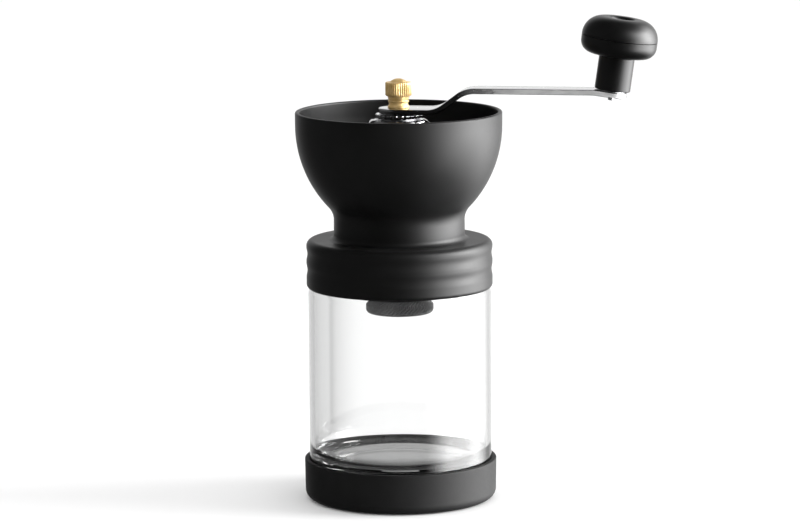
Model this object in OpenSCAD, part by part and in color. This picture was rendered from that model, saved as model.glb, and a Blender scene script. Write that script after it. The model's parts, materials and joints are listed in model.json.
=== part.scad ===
// Hand crank coffee grinder: a screw-on hopper with a conical burr set over a glass jar.
// Millimetres. The origin is the centre of the boot's underside, +Z runs up the shaft,
// and the crank points along +X. The burrs are set to their coarsest.

/* [Jar and boot] */
// Outside diameter of the glass jar
jar_d = 84; // [83:0.5:84]
// Thickness of the jar's side wall
jar_wall = 2.45; // [2:0.05:3]
// Height of the jar's inner floor above the table
jar_floor_z = 19; // [13:0.5:20]
// Radius between the jar's inner floor and its wall
jar_floor_r = 7; // [5:0.5:10]
// Height of the rubber boot
boot_h = 18.7; // [16:0.1:22]
// Outside diameter of the boot at its rim
boot_d = 88.5; // [88:0.5:90]
// Thickness of the boot's floor under the jar
boot_floor = 6; // [2.5:0.5:6]

/* [Collar and hopper] */
// Outside diameter of the screw collar
collar_d = 85.4; // [85:0.1:87]
// Height of the collar's top face
collar_top_z = 120.5; // [120.5:0.1:121]
// Depth of the two grooves round the collar
groove_depth = 0.45; // [0.2:0.05:0.8]
// Outside diameter of the hopper at its rim
hopper_d = 94.6; // [92:0.2:98]
// Height of the hopper's rim
hopper_top_z = 179.2; // [178:0.1:180]
// Thickness of the hopper's wall
hopper_wall = 2; // [1.6:0.1:2.4]
// Outside diameter of the hopper's neck
neck_d = 60; // [58:0.5:61]

/* [Threads] */
// Rise of the jar thread in one turn
jar_pitch = 4; // [3.5:0.25:4.25]
// Turns of thread on the jar's neck
jar_turns = 1.25; // [1:0.05:1.3]

/* [Burrs] */
// Diameter of the inner burr at its widest
burr_d = 31.2; // [30:0.1:31.2]
// Teeth round the inner burr
burr_teeth = 34; // [24:2:40]
// Twist of the teeth over the height of the cone, in degrees
burr_twist = 46; // [20:2:60]

/* [Crank] */
// Distance from the shaft to the knob's axis, at the arm
crank_radius = 97.7; // [90:0.1:110]
// Thickness of the crank arm
arm_t = 2.5; // [2:0.1:2.5]
// Width of the crank arm between its bends
arm_w = 13; // [11:0.5:14]
// Radius of the arm's round hub
hub_r = 9.1; // [8.5:0.1:9.5]
// Rise of the arm from its hub to its flat stretch
arm_rise = 9.75; // [8:0.05:11]
// Slope of the rising stretch, in degrees
arm_slope = 37; // [28:1:40]
// Downward slope of the arm's tip, in degrees
tip_slope = 8; // [0:1:10]

/* [Knob] */
// Diameter of the knob's head
knob_d = 34.4; // [32:0.2:38]
// Height of the knob's head
knob_h = 17.1; // [17:0.1:20]
// Diameter of the knob's stem
stem_d = 16.2; // [14:0.1:18]
// Height of the knob's stem
stem_h = 15.8; // [14:0.2:20]

/* [Nuts] */
// Diameter of the brass cap nut over its knurl
cap_nut_d = 12; // [11:0.5:14]
// Diameter of the adjusting nut
adjuster_d = 21.5; // [19:0.5:23]

/* [Hidden] */
$fn = 96;

// Facets in a quarter of a modelled arc
ARC = 8;
// Gap between faces that turn on each other
RUN = 0.02;
// Radial clearance of a running fit
FIT = 0.04;
// Overcut that keeps a cutter clear of a face
CUT = 1;

// Jar
jar_r = jar_d / 2;
jar_in_r = jar_r - jar_wall;
jar_neck_r = 37.6;
jar_neck_in_r = 34.8;
jar_top_z = 112;
jar_lip_r = 0.8;
shoulder_z = 95.4;
shoulder_r = 7;
shoulder_x = jar_r - shoulder_r;
heel_r = 6;
punt_r = 26;
punt_depth = 1;
punt_slope = 3;
thread_z = 103.2;
thread_depth = 1.6;
thread_root_w = 1.6;
thread_crest_w = 0.9;
thread_steps = 36;

// Boot
boot_r = boot_d / 2;
boot_low_r = boot_r - 0.25;
boot_fillet = 4.25;
boot_rim = 0.3;
boot_in_r = jar_r + 0.05;

// Gasket, housing and collar, stacked on the jar's neck
gasket_t = 1.56;
flange_z = jar_top_z + 2 * RUN + gasket_t;
flange_top_z = collar_top_z - 3;
flange_r = 39;
barrel_r = 25.5;
barrel_z = 98.6;
throat_r = 17.5;
collar_r = collar_d / 2;
collar_bottom_z = 98.3;
collar_in_r = 40.3;
collar_hole_r = 29;
collar_corner = 3;
collar_foot = 2;
collar_foot_a = 58;
collar_foot_z = collar_bottom_z + collar_foot * sin(collar_foot_a);
collar_chamfer = 2.4;
collar_thread_a = 108;
collar_thread_z = thread_z - jar_pitch / 2 + jar_pitch * collar_thread_a / 360;
groove_half = 3.4;
groove_levels = [collar_top_z - 6.6, collar_top_z - 14];
groove_start = groove_levels[1] - 1.5 * groove_half;

// Hopper: a bowl that is an arc in section, blended into a straight neck
hopper_r = hopper_d / 2;
neck_r = neck_d / 2;
bowl_r = 54.7;
bowl_z = 173;
bowl_x = hopper_r - bowl_r;
blend_r = 9;
blend_dx = neck_r + blend_r - bowl_x;
blend_z = bowl_z - sqrt(pow(bowl_r + blend_r, 2) - pow(blend_dx, 2));
blend_a = asin(blend_dx / (bowl_r + blend_r));
foot_blend = 2.4;
foot_r = neck_r + foot_blend;
hopper_lip = 0.7;
floor_chamfer = 1.5;
hopper_floor_z = 119.5;
hopper_hole_r = 18;

// Burr set
burr_r = burr_d / 2;
burr_z = 86.4;
burr_wide_z = 88.2;
burr_cone_z = 90.5;
burr_top_z = 101;
burr_top_r = 10.5;
burr_recess_r = 9;
burr_recess_z = 91.4;
tooth_depth = 0.75;
ring_r = 22.4;
ring_step_r = 19.5;
ring_z = 95.6;
ring_top_z = 110.2;
ring_bore_r = burr_r + 0.4;
ring_mouth_r = 17.3;
ring_flutes = 12;

// Shaft
shaft_r = 3;
shaft_z = 87;
shaft_flat = 2.3;
shaft_round_l = 68;
shaft_top_z = 191.4;
arm_flat = 2.05;
stud_r = 2;
spider_z = 112;
spring_r = 4.9;
spring_wire = 1;
spring_coils = 4;

// Bridge
bridge_turn = 12;
plate_z = 175.6;
plate_t = 1.4;
plate_r = 12.6;
leg_w = 10;
leg_r = 24.6;
leg_knee_z = 154;
bridge_screw_r = 20.9;

// Adjuster and crank
nut_z = 176.2;
nut_t = 1.9;
hub_z = 178.3;
bend_r = 13;
arm_mid_z = hub_z + arm_t / 2;
bend_1_x = 14;
bend_rise = bend_r * (1 - cos(arm_slope));
slope_len = (arm_rise - 2 * bend_rise) / sin(arm_slope);
bend_2_x = bend_1_x + 2 * bend_r * sin(arm_slope) + slope_len * cos(arm_slope);
tip_bend_r = 4;
tip_bend_x = crank_radius - 8;
tip_r = 6.6;
tip_taper = 4;

// Knob, along its own axis from the arm's upper face
tip_x = tip_bend_x + tip_bend_r * sin(tip_slope);
tip_z = arm_mid_z + arm_rise - tip_bend_r * (1 - cos(tip_slope));
pivot_x = crank_radius - arm_t / 2 * sin(tip_slope);
pivot_z = tip_z - (pivot_x - tip_x) * tan(tip_slope);
knob_r = knob_d / 2;
stem_r = stem_d / 2;
stem_z = 0.55;
head_z = stem_z + stem_h;
head_top_z = head_z + knob_h;
parting_z = head_z + 8;
under_r = 5.5;
crown_r = 8.8;
recess_r = 4.7;
recess_lip = 2.1;
tongue_r = recess_r + 2;
tongue_w = 2;
tongue_h = 2;
tongue_gap = 0.01;
screw_seat_z = head_z + 3;
screw_head_r = 4.2;
screw_r = 2.5;
screw_tip_r = 1.4;

// Cap nut
foot_z = hub_z + arm_t;
cap_z = foot_z + 2.5;
cap_top_z = 194.2;
knurl_z = 185.9;
knurl_top_z = 192.5;
knurl_depth = 0.2;
knurl_chamfer = 0.3;
cap_r = cap_nut_d / 2;
cap_body_r = 4.85;
cap_foot_r = 4.6;
cap_groove_r = 4.5;
cap_groove_z = cap_z + 1.15;
dome_r = 5.68;
dome_a = 46.6;

// Points along an arc in a plane
function arc(x, y, r, a0, a1, n = ARC) =
    [for (i = [0:n]) [x + r * cos(a0 + (a1 - a0) * i / n), y + r * sin(a0 + (a1 - a0) * i / n)]];

// A list in the opposite order
function backwards(p) = [for (i = [len(p) - 1:-1:0]) p[i]];

// Direction of a path between two of its points, and the offset that keeps its thickness
function along(p, i) = (p[i + 1] - p[i]) / norm(p[i + 1] - p[i]);
function left_of(v) = [-v[1], v[0]];
function mitre(p, i) =
    i == 0 ? left_of(along(p, 0)) :
    i == len(p) - 1 ? left_of(along(p, i - 1)) :
    (left_of(along(p, i - 1)) + left_of(along(p, i))) / (1 + along(p, i - 1) * along(p, i));

// Outline of a strip of thickness t that follows a path
function strip(p, t) = concat(
    [for (i = [0:len(p) - 1]) p[i] + mitre(p, i) * t / 2],
    [for (i = [len(p) - 1:-1:0]) p[i] - mitre(p, i) * t / 2]);

// A ring with a square section
module ring(r_out, r_in, z0, z1) {
    translate([0, 0, z0])
        difference() {
            cylinder(r = r_out, h = z1 - z0);
            translate([0, 0, -CUT]) cylinder(r = r_in, h = z1 - z0 + 2 * CUT);
        }
}

// A disc with straight teeth round its edge
module toothed_disc(r, depth, teeth, z0, z1) {
    translate([0, 0, z0])
        linear_extrude(height = z1 - z0)
            polygon([for (i = [0:2 * teeth - 1])
                (r - (i % 2) * depth) * [cos(180 * i / teeth), sin(180 * i / teeth)]]);
}

// A rod with two flats, along the shaft
module flatted_rod(r, flat, z0, z1) {
    intersection() {
        translate([0, 0, z0]) cylinder(r = r, h = z1 - z0);
        translate([-2 * r, -flat, z0 - CUT]) cube([4 * r, 2 * flat, z1 - z0 + 2 * CUT]);
    }
}

// A helical ridge from radius r_root out (or in) by depth, centred on height z0 where it starts
module helix_ridge(r_root, depth, z0, turns, start = 0) {
    steps = ceil(turns * thread_steps);
    grip = depth > 0 ? -0.3 : 0.3;
    section = [
        [grip, -thread_root_w / 2], [depth, -thread_crest_w / 2],
        [depth, thread_crest_w / 2], [grip, thread_root_w / 2]];
    points = [for (i = [0:steps]) let (a = start + 360 * turns * i / steps, z = jar_pitch * turns * i / steps)
        for (s = section) [(r_root + s[0]) * cos(a), (r_root + s[0]) * sin(a), z0 + z + s[1]]];
    sides = [for (i = [0:steps - 1], j = [0:3]) let (a = 4 * i + j, b = 4 * i + (j + 1) % 4)
        each depth > 0 ? [[a, b, b + 4], [a, b + 4, a + 4]] : [[b, a, b + 4], [b + 4, a, a + 4]]];
    last = 4 * steps;
    ends = depth > 0
        ? [[3, 2, 1, 0], [last, last + 1, last + 2, last + 3]]
        : [[0, 1, 2, 3], [last + 3, last + 2, last + 1, last]];
    polyhedron(points = points, faces = concat(sides, ends));
}

// A pan head screw, head up, with its shank below z = 0
module pan_screw(head_r, head_h, shank_r, shank_l) {
    difference() {
        union() {
            rotate_extrude()
                polygon(concat([[0, 0], [head_r, 0]],
                    arc(head_r - 0.7, head_h - 0.7, 0.7, 0, 90, 4), [[0, head_h]]));
            translate([0, 0, -shank_l]) cylinder(r = shank_r, h = shank_l + 0.1);
        }
        for (a = [0, 90])
            rotate([0, 0, a]) translate([-head_r * 0.55, -0.35, head_h - 0.8])
                cube([head_r * 1.1, 0.7, CUT]);
    }
}

// The knob's own frame: its pivot on the arm's upper face, leaning with the arm's tip
module at_knob() {
    translate([crank_radius, 0, pivot_z + arm_t / 2 * cos(tip_slope)])
        rotate([0, tip_slope, 0]) children();
}

// Rubber boot that the jar stands in
module base_boot() {
    color("#1c1c1c")
        rotate_extrude()
            polygon(concat(
                [[0, 0]],
                arc(boot_low_r - boot_fillet, boot_fillet, boot_fillet, -90, 0),
                [[boot_r, boot_h - boot_rim], [boot_r - boot_rim, boot_h], [boot_in_r, boot_h],
                 [boot_in_r, boot_floor], [0, boot_floor]]));
}

// Angle at which a shoulder of radius r runs into a neck of radius neck
function shoulder_end(neck, r) = acos((neck - shoulder_x) / r);

// Pressed glass jar: thick floor, thin wall, rounded shoulder and a threaded neck
module glass_jar() {
    color("#dfe8e8", 0.4)
        union() {
            rotate_extrude()
                polygon(concat(
                    [[0, boot_floor + punt_depth], [punt_r, boot_floor + punt_depth],
                     [punt_r + punt_slope, boot_floor]],
                    arc(jar_r - heel_r, boot_floor + heel_r, heel_r, -90, 0),
                    arc(shoulder_x, shoulder_z, shoulder_r, 0, shoulder_end(jar_neck_r, shoulder_r)),
                    arc(jar_neck_r - jar_lip_r, jar_top_z - jar_lip_r, jar_lip_r, 0, 90, 4),
                    [[jar_neck_in_r, jar_top_z]],
                    arc(shoulder_x, shoulder_z, shoulder_r - jar_wall,
                        shoulder_end(jar_neck_in_r, shoulder_r - jar_wall), 0),
                    arc(jar_in_r - jar_floor_r, jar_floor_z + jar_floor_r, jar_floor_r, 0, -90),
                    [[0, jar_floor_z]]));
            helix_ridge(jar_neck_r, thread_depth, thread_z, jar_turns);
        }
}

// Flat seal between the jar's neck and the hopper
module jar_gasket() {
    color("#e8e6e0")
        ring(jar_neck_r, jar_neck_in_r, jar_top_z + RUN, jar_top_z + RUN + gasket_t);
}

// Radius of the collar's side at height z, with a smooth groove at each level
function collar_side(z) = collar_r - groove_depth * max([for (g = groove_levels)
    abs(z - g) < groove_half ? 0.5 + 0.5 * cos(180 * (z - g) / groove_half) : 0]);

// Collar that screws down over the jar's neck
module screw_collar() {
    color("#232323")
        union() {
            rotate_extrude()
                polygon(concat(
                    arc(collar_r - collar_foot, collar_foot_z, collar_foot, -collar_foot_a, 0, 5),
                    [for (z = [groove_start:groove_half / 4:collar_top_z - collar_corner])
                        [collar_side(z), z]],
                    arc(collar_r - collar_corner, collar_top_z - collar_corner, collar_corner, 0, 90, 6),
                    [[collar_hole_r, collar_top_z], [collar_hole_r, flange_top_z],
                     [collar_in_r, flange_top_z], [collar_in_r, collar_bottom_z + collar_chamfer]]));
            helix_ridge(collar_in_r, -thread_depth, collar_thread_z, 1, collar_thread_a);
        }
}

// Hopper bowl with its neck, foot and pierced floor
module hopper_bowl() {
    color("#262626")
        difference() {
            rotate_extrude()
                polygon(concat(
                    [[hopper_hole_r, flange_top_z], [collar_hole_r - 0.1, flange_top_z],
                     [collar_hole_r - 0.1, collar_top_z], [foot_r, collar_top_z]],
                    arc(foot_r, collar_top_z + foot_blend, foot_blend, -90, -180, 5),
                    arc(neck_r + blend_r, blend_z, blend_r, 180, 90 + blend_a),
                    arc(bowl_x, bowl_z, bowl_r, blend_a - 90, 0, 14),
                    arc(hopper_r - hopper_lip, hopper_top_z - hopper_lip, hopper_lip, 0, 90, 4),
                    arc(hopper_r - hopper_wall + hopper_lip, hopper_top_z - hopper_lip, hopper_lip,
                        90, 180, 4),
                    arc(bowl_x, bowl_z, bowl_r - hopper_wall, 0, blend_a - 90, 14),
                    arc(neck_r + blend_r, blend_z, blend_r + hopper_wall, 90 + blend_a, 180),
                    [[neck_r - hopper_wall, hopper_floor_z + floor_chamfer],
                     [neck_r - hopper_wall - floor_chamfer, hopper_floor_z],
                     [hopper_hole_r, hopper_floor_z]]));
            bridge_holes(1.6);
        }
}

// Holes under the bridge's two feet
module bridge_holes(r) {
    for (side = [0, 180])
        rotate([0, 0, bridge_turn + side])
            translate([bridge_screw_r, 0, flange_z - CUT]) cylinder(r = r, h = 12);
}

// Places of the three screws that hold the housing up to the collar
module at_housing_screws() {
    for (a = [30, 150, 270])
        rotate([0, 0, a]) translate([31.4, 0, flange_z]) children();
}

// Housing under the hopper: flange, barrel for the ring burr, and a spider for the lower bush
module burr_housing() {
    color("#2b2b2b")
        difference() {
            union() {
                rotate_extrude()
                    polygon([
                        [ring_r + 0.05, barrel_z], [barrel_r, barrel_z], [barrel_r, flange_z],
                        [flange_r, flange_z], [flange_r, flange_top_z], [throat_r, flange_top_z],
                        [throat_r, ring_top_z], [ring_r + 0.05, ring_top_z]]);
                translate([0, 0, spider_z]) cylinder(r = 6.6, h = flange_top_z - spider_z);
                for (a = [60, 180, 300])
                    rotate([0, 0, a]) translate([5, -2, spider_z])
                        cube([throat_r - 4, 4, flange_top_z - spider_z]);
            }
            translate([0, 0, spider_z - CUT]) cylinder(r = 4.5, h = 10);
            bridge_holes(1.25);
            at_housing_screws() translate([0, 0, -CUT]) cylinder(r = 1.6, h = 10);
        }
}

// Screws from below, through the housing's flange into the collar
module housing_screws() {
    color("#b8b8b8")
        at_housing_screws() rotate([180, 0, 0]) pan_screw(2.6, 1.4, 1.55, flange_top_z - flange_z);
}

// Fixed outer burr, with flutes at its mouth
module ring_burr() {
    color("#3a3a3c")
        difference() {
            rotate_extrude()
                polygon([
                    [ring_bore_r, ring_z], [ring_step_r, ring_z], [ring_step_r, barrel_z], [ring_r, barrel_z],
                    [ring_r, ring_top_z], [ring_mouth_r, ring_top_z], [ring_bore_r + 0.2, ring_z + 4]]);
            for (i = [0:ring_flutes - 1])
                rotate([0, 0, 360 * i / ring_flutes]) translate([ring_mouth_r, 0, ring_z + 5])
                    cylinder(r = 1.3, h = 12, $fn = 24);
        }
}

// Ring under the barrel that keeps the outer burr in
module burr_retainer() {
    color("#2b2b2b") ring(barrel_r, ring_step_r + 0.1, ring_z, barrel_z);
}

// Plain bush in the spider
module lower_bush() {
    color("#c9a25a") ring(4.45, shaft_r + FIT, spider_z, flange_top_z);
    color("#c9a25a") ring(6, shaft_r + FIT, flange_top_z, flange_top_z + 0.8);
}

// Washer between the spring and the spider
module spring_washer() {
    color("#b8b8b8") ring(6.2, shaft_r + 0.2, spider_z - 0.5, spider_z);
}

// Coil spring that pushes the inner burr down
module burr_spring() {
    z0 = burr_top_z + 0.1 + spring_wire / 2;
    z1 = spider_z - 0.6 - spring_wire / 2;
    rings = spring_coils * 18;
    sides = 8;
    points = [for (i = [0:rings]) let (a = 360 * spring_coils * i / rings, z = z0 + (z1 - z0) * i / rings)
        for (j = [0:sides - 1]) let (b = 360 * j / sides, r = spring_r + spring_wire / 2 * cos(b))
            [r * cos(a), r * sin(a), z + spring_wire / 2 * sin(b)]];
    skin = [for (i = [0:rings - 1], j = [0:sides - 1])
        let (a = sides * i + j, b = sides * i + (j + 1) % sides)
            each [[a, b + sides, b], [a, a + sides, b + sides]]];
    ends = [[for (j = [0:sides - 1]) j], [for (j = [sides - 1:-1:0]) sides * rings + j]];
    color("#c4c4c4") polyhedron(points = points, faces = concat(ends, skin));
}

// Path of one leg, in its own plane: over the plate's edge, outwards, down, and in to its foot
leg_path = concat(
    [[plate_r - 3, plate_z - plate_t / 2]],
    arc(plate_r - 1.2, plate_z - plate_t / 2 - 2, 2, 90, 28, 4),
    [[leg_r, leg_knee_z], [leg_r, hopper_floor_z + plate_t / 2],
     [hopper_hole_r + 0.4, hopper_floor_z + plate_t / 2]]);

// Stamped bridge that carries the top of the shaft inside the hopper
module bearing_bridge() {
    color("#d8d8da")
        rotate([0, 0, bridge_turn])
            difference() {
                union() {
                    rotate_extrude()
                        polygon(concat(
                            [[0, plate_z - plate_t], [0, plate_z]],
                            arc(plate_r - 1.2, plate_z - 1.2, 1.2, 90, 0, 5),
                            [[plate_r, plate_z - 4.6], [plate_r - plate_t, plate_z - 4.6],
                             [plate_r - plate_t, plate_z - plate_t]]));
                    for (side = [0, 180])
                        rotate([0, 0, side]) rotate([90, 0, 0])
                            linear_extrude(height = leg_w, center = true) polygon(strip(leg_path, plate_t));
                }
                translate([0, 0, plate_z - 5]) cylinder(r = 5, h = 10);
                for (side = [-1, 1])
                    translate([side * bridge_screw_r, 0, hopper_floor_z - CUT]) cylinder(r = 1.7, h = 4);
            }
}

// Screws through the bridge's feet and the hopper's floor into the housing
module bridge_screws() {
    color("#b8b8b8")
        for (side = [0, 180])
            rotate([0, 0, bridge_turn + side])
                translate([bridge_screw_r, 0, hopper_floor_z + plate_t])
                    pan_screw(2.7, 1.6, 1.2, 6.4);
}

// Flanged bush in the bridge's plate
module upper_bush() {
    color("#c9a25a") ring(4.96, shaft_r + FIT, plate_z - 8, plate_z);
    color("#c9a25a") ring(7, shaft_r + FIT, plate_z - plate_t - 1.2, plate_z - plate_t);
}

// Washer keyed to the shaft's flats: it turns with the shaft and stays on the bridge
module key_washer() {
    color("#b0b0b2")
        difference() {
            translate([0, 0, plate_z + RUN]) cylinder(r = 8, h = nut_z - plate_z - 2 * RUN);
            flatted_rod(shaft_r + FIT, shaft_flat + FIT, plate_z - CUT, nut_z + CUT);
        }
}

// Round nut that sets how high the shaft hangs, and so how fine the grind is
module adjusting_nut() {
    color("#cfcfd2")
        difference() {
            toothed_disc(adjuster_d / 2, 0.35, 40, nut_z, nut_z + nut_t);
            translate([0, 0, nut_z - CUT]) cylinder(r = shaft_r + 0.02, h = nut_t + 2 * CUT);
        }
}

// Shaft: round in its bushes, flatted under the crank, with a stud for the cap nut
module drive_shaft() {
    color("#bdbdc0")
        union() {
            flatted_rod(shaft_r, shaft_flat, shaft_z, burr_top_z);
            translate([0, 0, burr_top_z]) cylinder(r = shaft_r, h = shaft_round_l);
            flatted_rod(shaft_r, shaft_flat, burr_top_z + shaft_round_l, hub_z);
            flatted_rod(shaft_r, arm_flat, hub_z, foot_z);
            translate([0, 0, foot_z]) cylinder(r = stud_r, h = shaft_top_z - foot_z);
        }
}

// Levels of the inner burr: height, radius, depth of its teeth
burr_levels = concat(
    [[burr_z, burr_r - 2, 0], [burr_z + 0.7, burr_r - 0.9, 0.3], [burr_wide_z, burr_r, tooth_depth],
     [burr_cone_z, burr_r, tooth_depth]],
    [for (i = [1:4]) let (t = i / 4)
        [burr_cone_z + (burr_top_z - burr_cone_z) * t, burr_r + (burr_top_r - burr_r) * t,
         tooth_depth * (1 + t)]]);

// Inner burr: a cone with helical teeth, keyed to the shaft and hollow below for its nut
module inner_burr() {
    n = 2 * burr_teeth;
    top = len(burr_levels) - 1;
    points = [for (l = burr_levels) let (turn = burr_twist * (l[0] - burr_z) / (burr_top_z - burr_z))
        for (j = [0:n - 1]) let (a = 360 * j / n + turn, r = l[1] - (j % 2) * l[2])
            [r * cos(a), r * sin(a), l[0]]];
    skin = [for (i = [0:top - 1], j = [0:n - 1]) let (a = n * i + j, b = n * i + (j + 1) % n)
        each [[a, b + n, b], [a, a + n, b + n]]];
    caps = [[for (j = [0:n - 1]) j], [for (j = [n - 1:-1:0]) n * top + j]];
    color("#4a4a4c")
        difference() {
            polyhedron(points = points, faces = concat(caps, skin));
            flatted_rod(shaft_r + FIT, shaft_flat + FIT, burr_z - CUT, burr_top_z + CUT);
            translate([0, 0, burr_z - CUT]) cylinder(r = burr_recess_r, h = burr_recess_z - burr_z + CUT);
        }
}

// Washer under the inner burr
module burr_washer() {
    color("#b8b8b8") ring(8, shaft_r + FIT, burr_recess_z - 0.8, burr_recess_z);
}

// Hexagon nut that holds the inner burr on the shaft
module burr_nut() {
    color("#b8b8b8")
        difference() {
            translate([0, 0, burr_recess_z - 4]) cylinder(r = 5.77, h = 3.2, $fn = 6);
            translate([0, 0, burr_z]) cylinder(r = shaft_r + 0.02, h = 10);
        }
}

// Side view of the crank arm's middle line: hub, rise, flat stretch and sloping tip
arm_path = concat(
    [[-hub_r - 1, arm_mid_z]],
    arc(bend_1_x, arm_mid_z + bend_r, bend_r, -90, arm_slope - 90, 6),
    arc(bend_2_x, arm_mid_z + arm_rise - bend_r, bend_r, 90 + arm_slope, 90, 6),
    arc(tip_bend_x, arm_mid_z + arm_rise - tip_bend_r, tip_bend_r, 90, 90 - tip_slope, 3),
    [[crank_radius + 10, tip_z - (crank_radius + 10 - tip_x) * tan(tip_slope)]]);

// Plan of the crank arm: a round hub that narrows to a round tip
arm_plan = concat(
    arc(0, 0, hub_r, 90, 270, 16),
    [[bend_1_x, -hub_r], [bend_2_x, -arm_w / 2], [crank_radius - tip_taper, -arm_w / 2]],
    arc(crank_radius, 0, tip_r, -75, 75, 12),
    [[crank_radius - tip_taper, arm_w / 2], [bend_2_x, arm_w / 2], [bend_1_x, hub_r]]);

// Flat chromed crank arm
module crank_arm() {
    color("#dcdcde")
        difference() {
            intersection() {
                rotate([90, 0, 0])
                    linear_extrude(height = 3 * hub_r, center = true) polygon(strip(arm_path, arm_t));
                translate([0, 0, hub_z - 10]) linear_extrude(height = 40) polygon(arm_plan);
            }
            flatted_rod(shaft_r + RUN, arm_flat + RUN, hub_z - CUT, foot_z + CUT);
            at_knob() translate([0, 0, -10]) cylinder(r = screw_tip_r + 0.02, h = 20);
        }
}

// Thin washer between the knob's stem and the arm
module knob_washer() {
    color("#c4c4c4") at_knob() ring(6, screw_r + 0.05, RUN, stem_z - 0.05);
}

// Shouldered screw that the knob turns on, ending in a small tip under the arm
module knob_screw() {
    color("#8c8c8e")
        at_knob() {
            translate([0, 0, -arm_t - 1.6]) cylinder(r = screw_tip_r, h = arm_t + 1.7);
            cylinder(r = screw_r, h = screw_seat_z + 0.1);
            translate([0, 0, screw_seat_z + 0.05])
                difference() {
                    cylinder(r = screw_head_r, h = 2.6);
                    translate([-screw_head_r, -0.5, 1.6]) cube([2 * screw_head_r, 1, 2]);
                }
        }
}

// Section of the ring that locates the knob's cap on its grip, grown by gap
function tongue(gap) = [
    [tongue_r + tongue_w + gap, parting_z], [tongue_r + tongue_w + gap, parting_z + tongue_h + gap],
    [tongue_r - gap, parting_z + tongue_h + gap], [tongue_r - gap, parting_z]];

// Knob grip: the stem with the lower half of the head
module knob_grip() {
    color("#1e1e1e")
        at_knob() rotate_extrude()
            polygon(concat(
                [[screw_r + FIT, stem_z], [stem_r - 0.4, stem_z], [stem_r, stem_z + 0.4], [stem_r, head_z]],
                arc(knob_r - under_r, head_z + under_r, under_r, -90, 0),
                [[knob_r, parting_z]],
                tongue(0),
                [[recess_r, parting_z],
                 [recess_r, screw_seat_z], [screw_r + FIT, screw_seat_z]]));
}

// Knob cap: the upper half of the head, with a round recess over the screw
module knob_cap() {
    color("#222222")
        at_knob() rotate_extrude()
            polygon(concat(
                [[knob_r, parting_z]],
                arc(knob_r - crown_r, head_top_z - crown_r, crown_r, 0, 90, 10),
                arc(recess_r + recess_lip, head_top_z - recess_lip, recess_lip, 90, 180, 5),
                [[recess_r, parting_z]],
                backwards(tongue(tongue_gap))));
}

// Flared swivel washer at the foot of the cap nut
module cap_washer() {
    color("#c8a04c")
        rotate_extrude()
            polygon([
                [stud_r + 0.1, foot_z + RUN], [5, foot_z + RUN], [5, foot_z + 0.7],
                [4.4, cap_z - RUN], [stud_r + 0.1, cap_z - RUN]]);
}

// Knurled brass nut over the crank, closed by a dome
module cap_nut() {
    color("#d4a843")
        difference() {
            union() {
                rotate_extrude()
                    polygon(concat(
                        [[0, cap_z], [cap_foot_r, cap_z], [cap_body_r, cap_z + 0.4],
                         [cap_body_r, cap_groove_z - 0.35], [cap_groove_r, cap_groove_z - 0.1],
                         [cap_groove_r, cap_groove_z + 0.1], [cap_body_r, cap_groove_z + 0.35],
                         [cap_body_r, knurl_z], [cap_r - knurl_chamfer, knurl_z + 2 * knurl_chamfer],
                         [cap_r - knurl_chamfer, knurl_top_z]],
                        arc(0, cap_top_z - dome_r, dome_r, dome_a, 90, 5)));
                toothed_disc(cap_r, knurl_depth, 36,
                    knurl_z + 2 * knurl_chamfer, knurl_top_z - knurl_chamfer);
            }
            translate([0, 0, cap_z - CUT]) cylinder(r = stud_r + 0.02, h = shaft_top_z + 0.3 - cap_z + CUT);
        }
}

base_boot();
glass_jar();
jar_gasket();
screw_collar();
hopper_bowl();
burr_housing();
housing_screws();
ring_burr();
burr_retainer();
lower_bush();
spring_washer();
burr_spring();
bearing_bridge();
bridge_screws();
upper_bush();
key_washer();
adjusting_nut();
drive_shaft();
inner_burr();
burr_washer();
burr_nut();
crank_arm();
knob_washer();
knob_screw();
knob_grip();
knob_cap();
cap_washer();
cap_nut();
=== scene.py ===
"""Looks of a hand crank coffee grinder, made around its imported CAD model.

Lengths in outlines are millimetres and are turned into metres when a mesh is made.
"""

import json
import math

import bmesh
import bpy
from mathutils import Matrix, Vector


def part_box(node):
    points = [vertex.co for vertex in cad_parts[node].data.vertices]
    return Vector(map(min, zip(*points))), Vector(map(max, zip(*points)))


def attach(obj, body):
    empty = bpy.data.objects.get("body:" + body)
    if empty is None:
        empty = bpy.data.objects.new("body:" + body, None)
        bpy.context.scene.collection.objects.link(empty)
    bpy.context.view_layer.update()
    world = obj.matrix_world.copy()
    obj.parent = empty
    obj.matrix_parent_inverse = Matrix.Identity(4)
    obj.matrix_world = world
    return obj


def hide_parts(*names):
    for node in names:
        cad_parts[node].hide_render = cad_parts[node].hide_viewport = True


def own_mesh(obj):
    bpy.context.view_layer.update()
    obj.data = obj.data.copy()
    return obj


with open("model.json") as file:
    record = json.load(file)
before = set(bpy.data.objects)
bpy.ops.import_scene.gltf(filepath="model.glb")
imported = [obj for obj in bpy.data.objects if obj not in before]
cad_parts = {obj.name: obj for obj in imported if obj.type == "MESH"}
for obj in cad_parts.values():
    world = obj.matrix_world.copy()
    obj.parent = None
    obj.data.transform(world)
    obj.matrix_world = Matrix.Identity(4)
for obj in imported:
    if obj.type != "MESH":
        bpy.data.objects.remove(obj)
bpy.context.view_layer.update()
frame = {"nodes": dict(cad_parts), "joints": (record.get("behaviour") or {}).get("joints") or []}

MM = 0.001
TURN = 2 * math.pi


# ---------------------------------------------------------------- sizes from the frame

def low(node):
    """Lowest corner of a CAD node, in millimetres."""
    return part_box(node)[0] / MM


def high(node):
    """Highest corner of a CAD node, in millimetres."""
    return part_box(node)[1] / MM


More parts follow.
